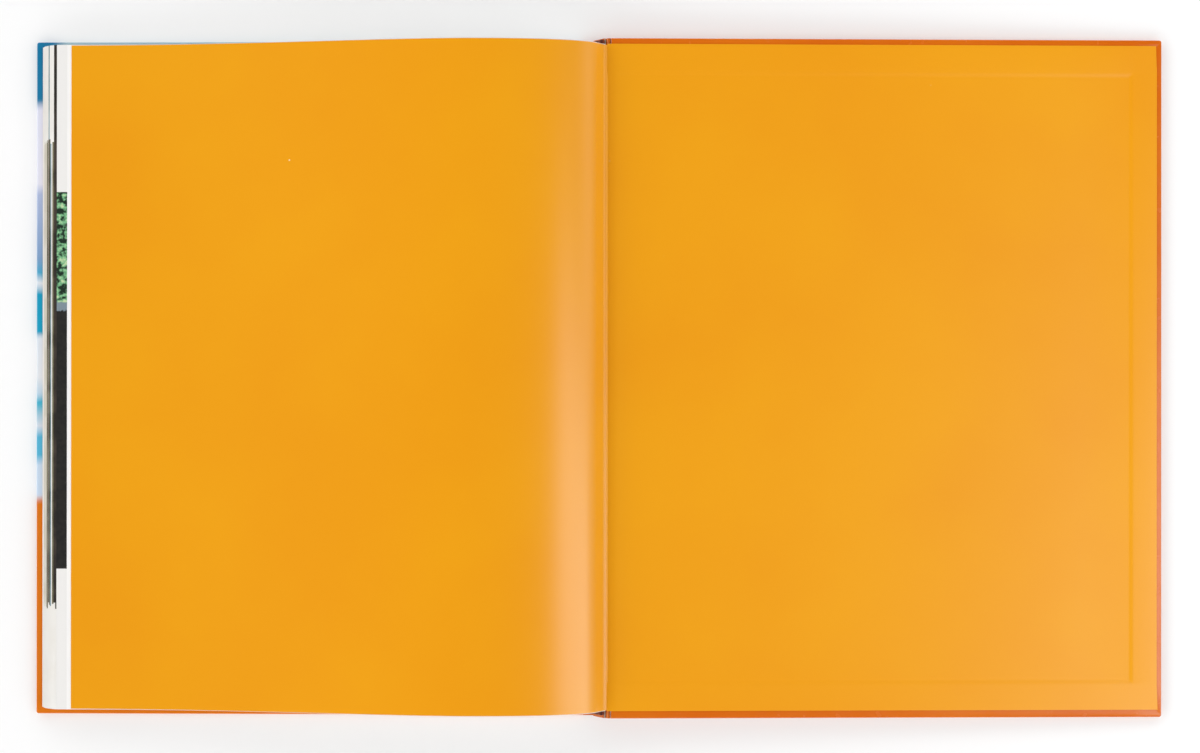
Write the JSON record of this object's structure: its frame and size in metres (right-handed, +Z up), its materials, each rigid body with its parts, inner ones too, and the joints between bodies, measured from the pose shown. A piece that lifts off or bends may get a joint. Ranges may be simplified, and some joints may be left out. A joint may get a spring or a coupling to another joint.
{
  "type": "open book",
  "caption": "Tall hardback picture book lying open at its back endpapers: text block and front cover on the left, back cover hinged down on the right.",
  "frame": {"origin": "middle of the open book's footprint, on the surface that it lies on", "axes": "+X from the text block towards the back cover, +Y towards the head of the book, +Z up"},
  "size_m": [0.5108, 0.306, 0.0287],
  "materials": {
    "greyboard": "matte",
    "spine_card": "matte",
    "front_case_paper": "gloss",
    "orange_case_paper": "gloss",
    "orange_endpaper": "satin",
    "page_paper": "satin",
    "lining_cloth": "matte",
    "band_cloth": "matte"
  },
  "bodies": {
    "front_cover": {"front_board": "greyboard", "front_cover_wrap": "front_case_paper", "front_pastedown": "orange_endpaper"},
    "text_block": {"text_block": "page_paper", "front_flyleaf": "orange_endpaper", "back_flyleaf": "orange_endpaper", "spine_lining": "lining_cloth", "head_band": "band_cloth", "tail_band": "band_cloth", "spine_inlay": "spine_card", "spine_wrap": "orange_case_paper", "front_joint_strip": "orange_case_paper", "back_joint_strip": "orange_case_paper"},
    "back_cover": {"back_board": "greyboard", "back_cover_wrap": "orange_case_paper", "back_pastedown": "orange_endpaper"}
  },
  "joints": [
    {"name": "front_hinge", "type": "hinge", "parent": "front_cover", "child": "text_block", "pos_m": [-0.00243, 0, 0.00315], "axis": [0, 1, 0], "range_deg": [0, 170], "deforming": ["front_joint_strip"]},
    {"name": "back_hinge", "type": "hinge", "parent": "text_block", "child": "back_cover", "pos_m": [0.00457, 0, 0.0116], "axis": [0, -1, 0], "range_deg": [-5, 181.94], "deforming": ["back_joint_strip", "back_flyleaf"]}
  ]
}
